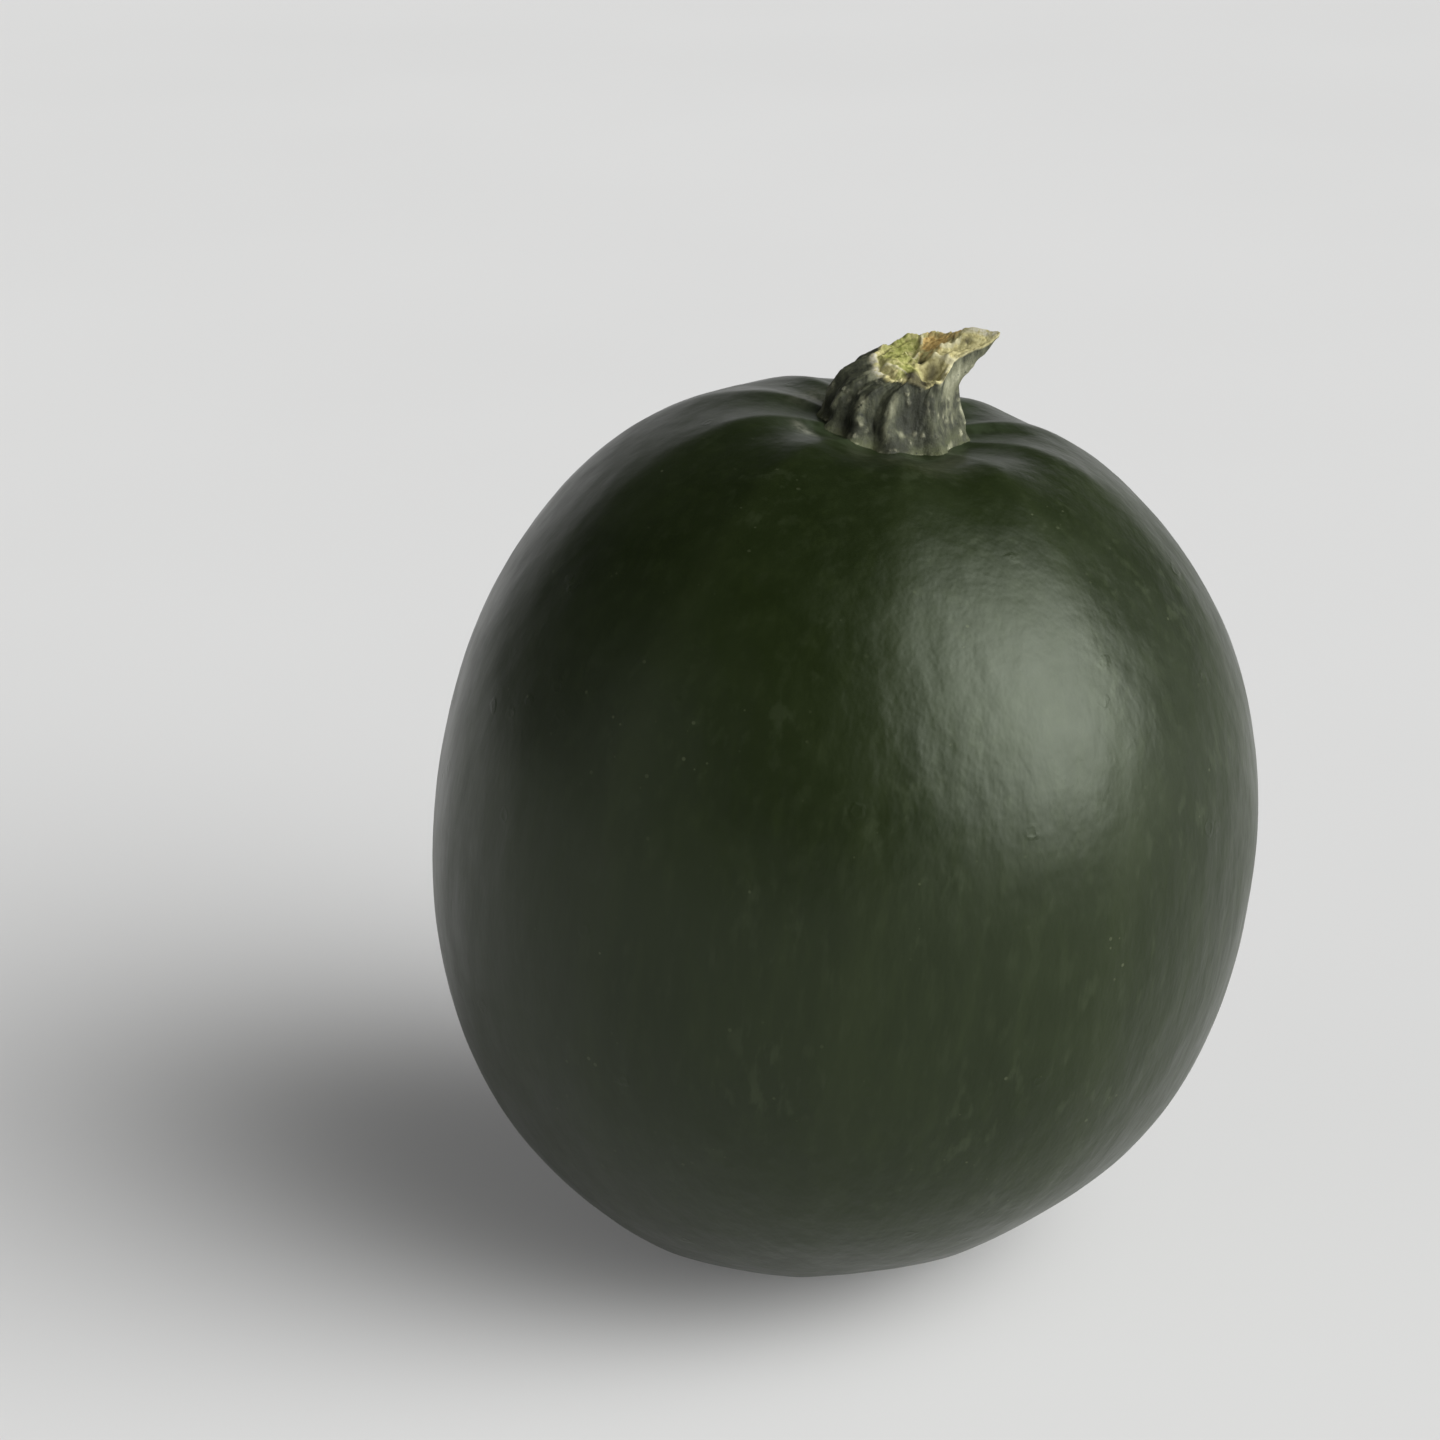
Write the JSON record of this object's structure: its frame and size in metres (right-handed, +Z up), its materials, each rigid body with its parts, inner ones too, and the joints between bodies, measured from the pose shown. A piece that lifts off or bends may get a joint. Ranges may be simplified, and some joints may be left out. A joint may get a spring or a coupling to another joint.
{
  "type": "gem squash",
  "caption": "Whole small round squash with a smooth dark green rind, faint ribs and a short ridged stem with a torn top, standing on its blossom end.",
  "frame": {"origin": "centre of the bottom of the bounding box, on the surface that the squash stands on", "axes": "+Z up, from the blossom end towards the stem; -Y is the side that faces the camera in the picture; +X is the side that the stem leans to"},
  "size_m": [0.0858, 0.0848, 0.0998],
  "materials": {
    "rind": "satin",
    "stem": "matte"
  },
  "bodies": {
    "root": {"fruit": "rind", "stem": "stem"}
  },
  "joints": []
}
